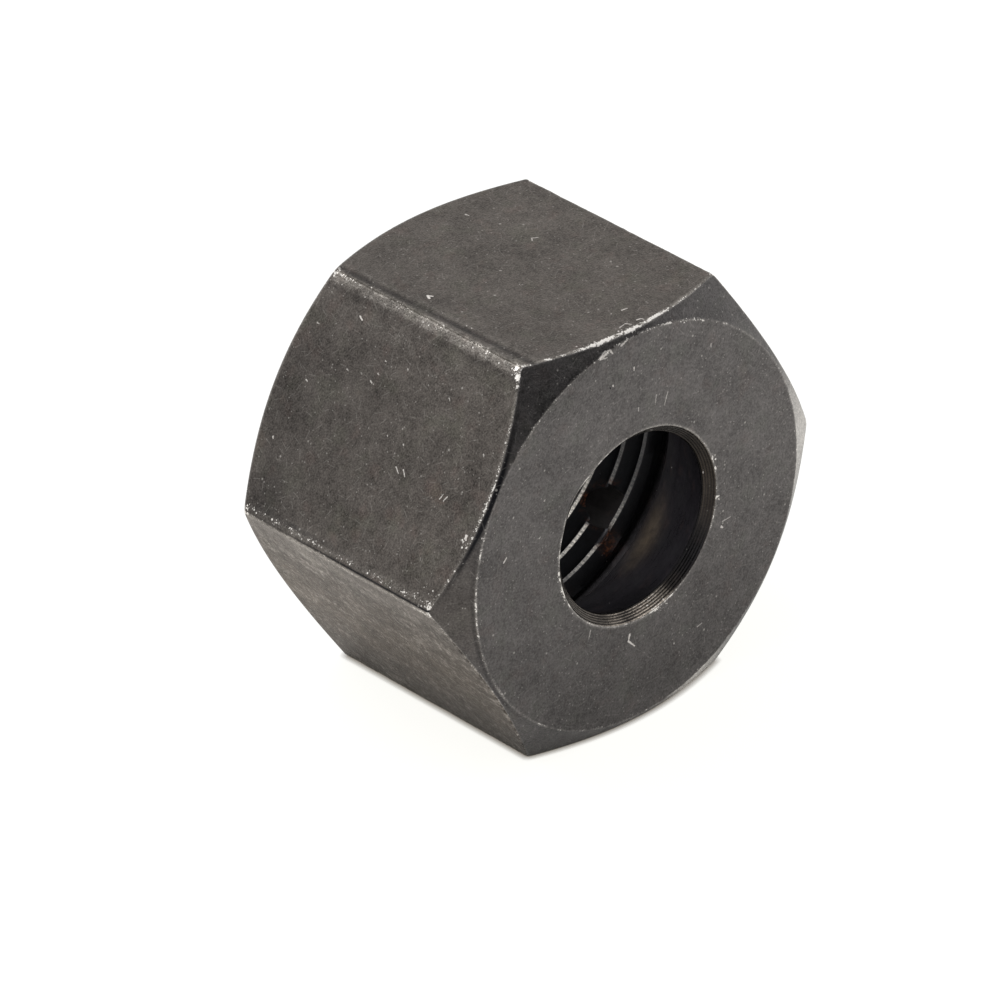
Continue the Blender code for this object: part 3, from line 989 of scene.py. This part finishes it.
def wearAndShadeLongEdges(wearAndLight, angle, depth, onFlats, fine, medium, along):
    # distances are measured on the flats, from the nearest long edge
    fromEdge = halfFlat - flatDistance * np.abs(np.tan(np.radians(angle % 60.0 - 30.0)))
    fromEdge = np.broadcast_to(fromEdge, depth.shape)
    edge = np.round(angle / 60.0).astype(int) % 6
    past = (angle + 30.0) % 60.0 - 30.0 > 0.0  # on the side of the larger angle
    bands = [
        ("sink", fromEdge, 0.45, 0.012 + 0.015 * fine + 0.02 * np.maximum(along, 0.0)),
        ("rubbedAndSheen", fromEdge, 0.30, 0.25 + 0.15 * along),
        ("bare", fromEdge, 0.14, 0.16 + 0.25 * along),
    ]

    # the edge between the top and the left flat: a hammered strip on the left, which reaches over the edge,
    # most at the front, with a painted shadow line below it, and beyond it on top a groove darkened with
    # painted shade
    strip = np.where((edge == 2) & past, fromEdge, farAway)
    inStrip = np.maximum(strip - 0.46, 0.0)
    stripWidth = 0.24 + 0.10 * medium
    reachOver = np.clip(0.46 - 0.028 * depth, 0.03, 0.50)
    beyond = np.where((edge == 2) & ~past, fromEdge, farAway) - reachOver
    onRidge = np.maximum(beyond - 0.06 * medium, 0.0)
    bands += [
        ("sink", inStrip, stripWidth, 0.10 * np.clip(1.0 - strip / 0.66, 0.0, 1.0) + 0.020 * fine),
        ("rubbedAndSheen", inStrip, stripWidth, 0.36 + 0.28 * fine + 0.20 * along),
        ("bare", inStrip, stripWidth, 0.15 + 0.18 * fine + 0.22 * along),
        ("bare", strip - 0.18, 0.22, 0.08),
        ("dark", strip - 0.86, 0.26, 0.22 + 0.2 * medium),
        ("rubbedAndSheen", strip - 1.7, 0.9, (0.07 + 0.10 * medium) * hump(depth - 10.0, 8.0)),
        ("rubbedAndSheen", onRidge, 0.12, 0.30 + 0.28 * fine + 0.20 * along),
        ("bare", onRidge, 0.12, 0.08 + 0.15 * fine + 0.15 * along),
        ("dark", beyond - 0.31, 0.32, 0.80 + 0.25 * medium),
        ("sink", beyond - 0.31, 0.32, 0.035),
        ("rubbedAndSheen", beyond - 0.72, 0.24, 0.15 + 0.10 * fine),
        ("bare", beyond - 0.70, 0.22, 0.10 + 0.10 * fine),
    ]

    # the edge below the left flat: a dark line with a bright one under it, and beads above
    lower = np.where(edge == 3, np.where(past, fromEdge, -fromEdge), farAway)
    nearFront = np.clip((15.0 - depth) / 7.0, 0.25, 1.0)
    bands += [
        ("dark", lower + 0.07, 0.13, 1.7 * nearFront),
        ("bare", lower + 0.07, 0.14, -0.5 * nearFront),
        ("rubbedAndSheen", lower + 0.07, 0.14, -0.5 * nearFront),
        ("dark", lower + 0.62, 0.22, (0.55 + 0.4 * medium) * hump(depth - 11.5, 6.0)),
        ("rubbedAndSheen", lower - 0.30, 0.34, 0.70 + 0.45 * along),
        ("rubbedAndSheen", lower - 1.7, 0.60, 0.22 + 0.40 * along),
        ("rubbedAndSheen", lower, 5.0, (lower > 0.05) * (0.34 + 0.25 * medium)),
        ("bare", lower - 0.30, 0.34, 0.20 + 0.28 * along + 0.30 * hump(depth - 2.4, 2.4)),
        ("bare", lower + 0.40, 0.42, 0.30 + 0.22 * fine),
        ("rubbedAndSheen", lower + 0.45, 0.50, 0.16 * (1.0 + medium)),
    ]
    addBands(wearAndLight, onFlats, bands)

    # painted shade: the left flat darkens towards the rear, and the lower one towards the table; the lower
    # one is also browner
    towardsRear = np.clip((depth - 3.0) / 14.0, 0.0, 1.0)
    wearAndLight["dark"] += onFlats * facing(angle, 150.0, 45.0) * 0.36 * towardsRear
    wearAndLight["dark"] += onFlats * facing(angle, 240.0, 24.0) * (0.62 + 0.2 * medium)
    wearAndLight["wornAndSheen"] += onFlats * facing(angle, 212.0, 34.0) * 0.45


def wearAndLightEndEdges(wearAndLight, angle, radius, depth, onFlats, fine, medium, along):
    outer = hexRadius(angle, nutForm["edgeRound"])
    front = depth < nutLength / 2
    turnedFront = front & ~onFlats
    outside = onFlats | (radius > faceRadius - 0.6)

    # the line between the front chamfer and the flats: bright along the top, beaded down the left, dark
    # beside it on the chamfer, and a hair line at the lower left
    top = facing(angle, 92.0, 46.0)
    thick = facing(angle, 94.0, 20.0)
    left = facing(angle, 152.0, 34.0)
    lowerLeft = facing(angle, 208.0, 32.0)
    fromLine = np.where(onFlats, depth - (outer - faceRadius) * chamferSlope, (outer - radius) * 1.2)
    fromLine = np.where(front & outside, fromLine, farAway)
    beside = np.where(onFlats, farAway, fromLine)
    width = 0.15 + 0.09 * top + 0.05 * thick * np.maximum(medium + 0.6, 0.0) + 0.05 * left + 0.04 * medium
    bright = 0.16 + 0.47 * top * (1.0 + fine + 0.45 * medium) + 0.20 * left + 0.18 * fine
    bands = [
        ("bare", fromLine, np.maximum(width, 0.05), bright),
        ("rubbedAndSheen", fromLine, 0.16 + 0.08 * thick, 0.35 + 0.7 * top + 0.2 * along),
        ("bare", fromLine, 0.7, onFlats * (0.16 * top * thick + 0.14 * left)),
        ("sink", fromLine, 0.16, 0.008 + 0.03 * np.maximum(along, 0.0) * (0.25 + thick)),
        ("dark", beside - 0.26, 0.24, 1.5 * left + 0.12 * top),
        ("rubbedAndSheen", beside - 0.05, 0.11, lowerLeft * (0.50 + 0.50 * fine)),
        ("bare", beside - 0.05, 0.10, lowerLeft * (0.28 + 0.32 * fine)),
    ]

    # the edge of the round front face: a bright line, broken at the left and dashed at the upper right
    left = facing(angle, 195.0, 55.0)
    upper = facing(angle, 92.0, 42.0)
    dashed = facing(angle, 68.0, 16.0)
    broken = np.clip(0.92 + 1.2 * left * medium, 0.25, 1.10)
    bright = 0.22 + 0.22 * left + 0.20 * upper + 0.12 * dashed + 0.30 * fine * (1.0 + 0.8 * dashed)
    fromRim = np.where(turnedFront & outside, radius - faceRadius, farAway)
    bands += [
        ("rubbedAndSheen", fromRim, 0.11, (0.30 + 0.1 * left + 0.35 * fine) * broken),
        ("bare", fromRim, 0.15 + 0.03 * left + 0.05 * dashed, bright * broken),
        ("sink", fromRim, 0.10, 0.008 * (1.0 + fine)),
        ("dark", fromRim - 0.18, 0.14, 0.5 * left + 0.25 * upper * (1.0 + fine)),
    ]

    # the edges at the rear: the chamfer's line, the ring's outer edge and the socket's mouth
    rearLine = nutLength - (outer - rearRadius) * chamferSlope
    fromRearLine = np.where(outside, depth - rearLine, farAway)
    atRear = ~front & ~onFlats & (radius > rearRadius - 0.5)
    fromRing = np.where(atRear, radius - rearRadius, farAway)
    fromMouth = np.where(atRear | (depth > nutLength - 0.3), radius - rearMouth, farAway)
    bands += [
        ("bare", fromRearLine, 0.12, 0.15 + 0.3 * fine),
        ("rubbedAndSheen", fromRearLine, 0.16, 0.35),
        ("bare", fromRing, 0.10, 0.2 + 0.3 * fine),
        ("rubbedAndSheen", fromRing, 0.12, 0.4),
        ("bare", fromMouth, 0.10, 0.3 + 0.3 * fine),
    ]
    addBands(wearAndLight, 1.0, bands)

    # the lower half of the round face is a little darker, painted shade; the front chamfer is a little darker
    # all round, and darker and browner at the left
    onFace = turnedFront & (depth < 0.05) & (radius > 6.2)
    onChamfer = turnedFront & (radius > faceRadius + 0.02)
    offRim = turnedFront & (radius > faceRadius + 0.05)
    wearAndLight["dark"] += onFace * facing(angle, 262.0, 80.0) * 0.09
    wearAndLight["dark"] += offRim * (0.16 + 0.12 * facing(angle, 140.0, 50.0))
    wearAndLight["dark"] += onChamfer * facing(angle, 180.0, 26.0) * 0.12
    wearAndLight["wornAndSheen"] += onChamfer * facing(angle, 180.0, 30.0) * 0.25

    # painted reflection on the front chamfer, almost bright, at the right corner and at the one below it,
    # where bare steel is added too
    below = facing(angle, 291.0, 19.0)
    chamferSheen = facing(angle, 2.0, 30.0) + 1.1 * below
    wearAndLight["rubbedAndSheen"] += onChamfer * chamferSheen * 1.3
    wearAndLight["dark"] -= onChamfer * chamferSheen
    wearAndLight["bare"] += onChamfer * below * (0.50 + 0.2 * fine)


def wearAndLightBore(wearAndLight, angle, radius, depth, finish, fine, medium):
    # the bore's rim: a thin bright line, and granular burrs outside it at the lower right and the left
    lowerRight = facing(angle, 287.0, 20.0)
    dull = facing(angle, 322.0, 34.0)
    left = facing(angle, 190.0, 34.0)
    upperLeft = facing(angle, 135.0, 50.0)
    right = facing(angle, 0.0, 50.0)
    rim = np.where(depth < 0.12, radius - mouthRadius, farAway)
    outside = np.where(rim > -0.02, rim, farAway)
    burrs = (0.50 * lowerRight + 0.60 * left + 0.38 * right) * (1.0 + 0.8 * fine)
    bands = [
        ("rubbedAndSheen", rim - 0.02, 0.10, (0.75 - 0.35 * right + 0.2 * fine) * (1.0 - 0.85 * dull)),
        ("bare", rim - 0.02, 0.08, (0.25 + 0.35 * upperLeft + 0.3 * fine) * (1.0 - dull)),
        ("bare", outside - 0.06, 0.26 + 0.26 * lowerRight, burrs),
        ("sink", outside - 0.12, 0.12, -0.02 * (lowerRight + 0.4 * left) * np.maximum(fine, 0.0)),
    ]
    addBands(wearAndLight, 1.0, bands)

    # the countersink's rings, with a painted highlight along the bottom and a painted shadow at the lower
    # right, brown at the right
    mouth = finish == "mouth"
    rings = np.cos(2.0 * np.pi * nutForm["mouthRings"] * depth / nutForm["mouthWidth"])
    # bottom is where the highlight is painted, shaded where the shadow is painted
    bottom = np.minimum(facing(angle, 272.0, 30.0) * 1.8, 1.0)
    shaded = facing(angle, 320.0, 29.0) + 0.5 * facing(angle, 262.0, 11.0)
    wearAndLight["sink"] += mouth * nutForm["ringDepth"] * (0.5 + 0.5 * rings)
    wearAndLight["rubbedAndSheen"] += mouth * bottom * (0.52 - 0.46 * rings + 0.15 * medium)
    wearAndLight["rubbedAndSheen"] += mouth * facing(angle, 220.0, 50.0) * (0.20 - 0.16 * rings)
    wearAndLight["rubbedAndSheen"] += mouth * facing(angle, 80.0, 40.0) * (0.10 - 0.08 * rings)
    wearAndLight["rubbedAndSheen"] -= mouth * shaded * 0.6
    wearAndLight["bare"] += mouth * facing(angle, 283.0, 13.0) * (0.22 - 0.20 * rings + 0.2 * fine)
    wearAndLight["wornAndSheen"] += mouth * facing(angle, 20.0, 60.0) * (0.15 - 0.13 * rings)
    wearAndLight["dark"] += mouth * (shaded * 0.9 + 0.35 * np.maximum(rings, 0.0))


def wearAndLightThread(wearAndLight, angle, radius, depth, finish):
    # how bright the land of the crest is, a painted highlight: more at the lower right, and on the crests
    # farther in
    inside = (finish == "thread") & (depth > threadStart + 0.001) & (depth < threadEnd - 0.001)
    level = 0.10 + 0.50 * facing(angle, 305.0, 24.0) + 0.12 * facing(angle, 322.0, 20.0)
    level = level + 0.30 * facing(angle, 321.0, 22.0) * (depth > 11.2)
    level = level + 0.15 * facing(angle, 150.0, 60.0)
    level = level + 0.28 * (depth > 12.6)
    wearAndLight["rubbedAndSheen"] += inside * level * (1.0 + 0.45 * (depth > 9.9))

    # rust round the small hole, and the break in the first crest beside it
    alongNut = depth - holeDepth
    sideways = radius * np.sin(np.radians(angle - nutForm["holeAngle"]))
    atHole = hump(np.hypot(alongNut, sideways) - nutForm["holeRadius"] - 0.05, 0.22) * inside
    wearAndLight["rust"] += atHole * 0.35 * (alongNut > -0.4)
    fromCrest = np.where(inside, threadWall(angle, depth)[1], farAway)
    first = (depth > 8.3) & (depth < 9.9) & (np.abs(fromCrest) < 0.6)
    broken = facing(angle, dents["crestTurn"], dents["crestSpan"]) * first
    wearAndLight["sink"] += broken * dents["crestDepth"] * hump(fromCrest, 0.7)
    wearAndLight["rubbedAndSheen"] -= broken * 2.0


def makeWearAndLight(angle, radius, depth, finish):
    turn = np.radians(angle)
    place = np.stack([radius * np.cos(turn), depth, radius * np.sin(turn)], axis=-1)
    onFlats = finish == "flats"
    fine = softNoise(place, 0.22, 3)
    medium = softNoise(place, 0.7, 5)
    along = softNoise(place, (0.3, 0.9, 0.3), 8)
    wearAndLight = {key: np.zeros_like(radius) for key in ("sink",) + wearAndLightLayers}
    wearAndShadeLongEdges(wearAndLight, angle, depth, onFlats, fine, medium, along)
    wearAndLightEndEdges(wearAndLight, angle, radius, depth, onFlats, fine, medium, along)
    wearAndLightBore(wearAndLight, angle, radius, depth, finish, fine, medium)
    wearAndLightThread(wearAndLight, angle, radius, depth, finish)
    for spotTurn, spotRadius, spotDepth, size, kind, strength in nutSpots:
        middle = np.array(onRound(spotTurn, spotRadius, spotDepth)) + np.array([0.0, nutLength / 2, 0.0])
        here = np.exp(-((np.linalg.norm(place - middle, axis=-1) / size) ** 2)) * strength
        wearAndLight[kind] += here * (1.0 + 0.5 * fine)
        if kind == "bare":
            wearAndLight["sink"] += here * 0.03
    return wearAndLight


def bendRim(angle, radius, depth):
    # a shallow slope pressed into the front face beside the bore
    pressed = facing(angle, dents["rimTurn"], dents["rimSpan"]) ** 0.5
    slope = (dents["rimReach"] - radius) * dents["rimSlope"] * pressed
    near = (depth < 0.6) & (radius < dents["rimReach"])
    return np.where(near, np.maximum(depth, slope), depth)


frontOfAxis = np.array([0.0, nutLow.y, nutMiddle.z])  # where the axis meets the front face, in metres


def finishMesh(mesh):
    # welds what lies on the same spot and turns the faces outwards
    shape = bmesh.new()
    shape.from_mesh(mesh)
    sameSpot = fineness["sameSpot"] * mm
    bmesh.ops.remove_doubles(shape, verts=shape.verts, dist=sameSpot)
    bmesh.ops.dissolve_degenerate(shape, edges=shape.edges, dist=sameSpot)
    if shape.calc_volume(signed=True) < 0.0:
        bmesh.ops.reverse_faces(shape, faces=shape.faces)
    shape.to_mesh(mesh)
    shape.free()


def makeNut():
    # the section's grid, sunk along its normals where it is worn, with the wear and the painted light and
    # shade kept as attributes
    angle = makeColumns()
    radius, depth, finish, helixRows = makeSection(angle)
    wearAndLight = makeWearAndLight(angle, radius, depth, finish)
    depth = bendRim(angle, radius, depth)
    turn = np.radians(angle)
    place = np.stack([radius * np.cos(turn), depth, radius * np.sin(turn)], axis=-1)
    onRing = np.roll(place, -1, axis=1) - np.roll(place, 1, axis=1)
    onSection = np.roll(place, -1, axis=0) - np.roll(place, 1, axis=0)
    normal = np.cross(onSection, onRing)
    normal /= np.maximum(np.linalg.norm(normal, axis=-1, keepdims=True), 1e-9)
    place = (place - normal * wearAndLight["sink"][..., None]) * mm + frontOfAxis
    place = np.clip(place, nutLow, nutHigh)

    # faces between the rows and columns; past the last column a row of the thread goes on one turn further
    # along
    rowCount, columnCount = radius.shape
    grid = np.arange(rowCount * columnCount).reshape(rowCount, columnCount)
    onward = np.roll(grid, -1, axis=1)
    first, last = helixRows
    shifted = np.clip(np.arange(first, last) + len(fineness["threadSteps"]), first, last - 1)
    onward[first:last, -1] = grid[shifted, 0]
    nextRow = np.roll(grid, -1, axis=0)
    quads = np.stack([grid, onward, np.roll(onward, -1, axis=0), nextRow], axis=-1).reshape(-1, 4)

    mesh = bpy.data.meshes.new("nut_steel")
    mesh.from_pydata(place.reshape(-1, 3), [], quads)
    slots = np.repeat([finishNames.index(name) for name in finish[:, 0]], columnCount)
    mesh.polygons.foreach_set("material_index", slots)
    for name in wearAndLightLayers:
        values = mesh.attributes.new(name, "FLOAT", "POINT")
        values.data.foreach_set("value", np.clip(wearAndLight[name], 0.0, 2.0).astype(np.float32).ravel())
    for material in materials:
        mesh.materials.append(material)
    finishMesh(mesh)
    return addObject("nut_steel", mesh)


def makeHoleDrill():
    # a closed rod along the hole's direction, from inside the socket out through the wall:
    # middle + reach times the outward direction + radius times (cosine along the axis + sine sideways)
    count = fineness["holeSides"]
    reach = np.array(fineness["drillReach"])
    around = np.linspace(0.0, 2.0 * np.pi, count, endpoint=False)[:, None]
    turn = math.radians(nutForm["holeAngle"])
    outward = np.array([math.cos(turn), 0.0, math.sin(turn)])
    sideways = np.array([-math.sin(turn), 0.0, math.cos(turn)])
    alongNut = np.array([0.0, 1.0, 0.0])
    rim = (np.cos(around) * alongNut + np.sin(around) * sideways) * nutForm["holeRadius"]
    place = (alongNut * holeDepth + reach[:, None, None] * outward + rim).reshape(-1, 3) * mm + frontOfAxis
    k = np.arange(count)
    walls = np.stack([k, (k + 1) % count, (k + 1) % count + count, k + count], axis=-1).tolist()
    caps = [k[::-1].tolist(), (k + count).tolist()]
    mesh = bpy.data.meshes.new("hole_drill")
    mesh.from_pydata(place, [], walls + caps)
    for material in materials:
        mesh.materials.append(material)
    mesh.polygons.foreach_set("material_index", np.full(count + 2, finishNames.index("hole"), np.int32))
    finishMesh(mesh)
    return addObject("hole_drill", mesh)


def drillHole(nut, drill):
    cut = nut.modifiers.new("hole", "BOOLEAN")
    cut.operation = "DIFFERENCE"
    cut.solver = "EXACT"
    cut.object = drill
    bpy.context.view_layer.update()
    drilled = bpy.data.meshes.new_from_object(nut.evaluated_get(bpy.context.evaluated_depsgraph_get()))
    drilled.name = "nut_steel"
    nut.modifiers.clear()
    nut.data = drilled
    bpy.data.objects.remove(drill, do_unlink=True)
    drilled.shade_smooth()
    drilled.set_sharp_from_angle(angle=math.radians(fineness["sharpFrom"]))


nutSteel = makeNut()
report("nut surface")
drillHole(nutSteel, makeHoleDrill())
report(f"hole drilled, {sum(len(face.vertices) - 2 for face in nutSteel.data.polygons)} triangles")
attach(nutSteel, "root")
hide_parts("collet_nut")
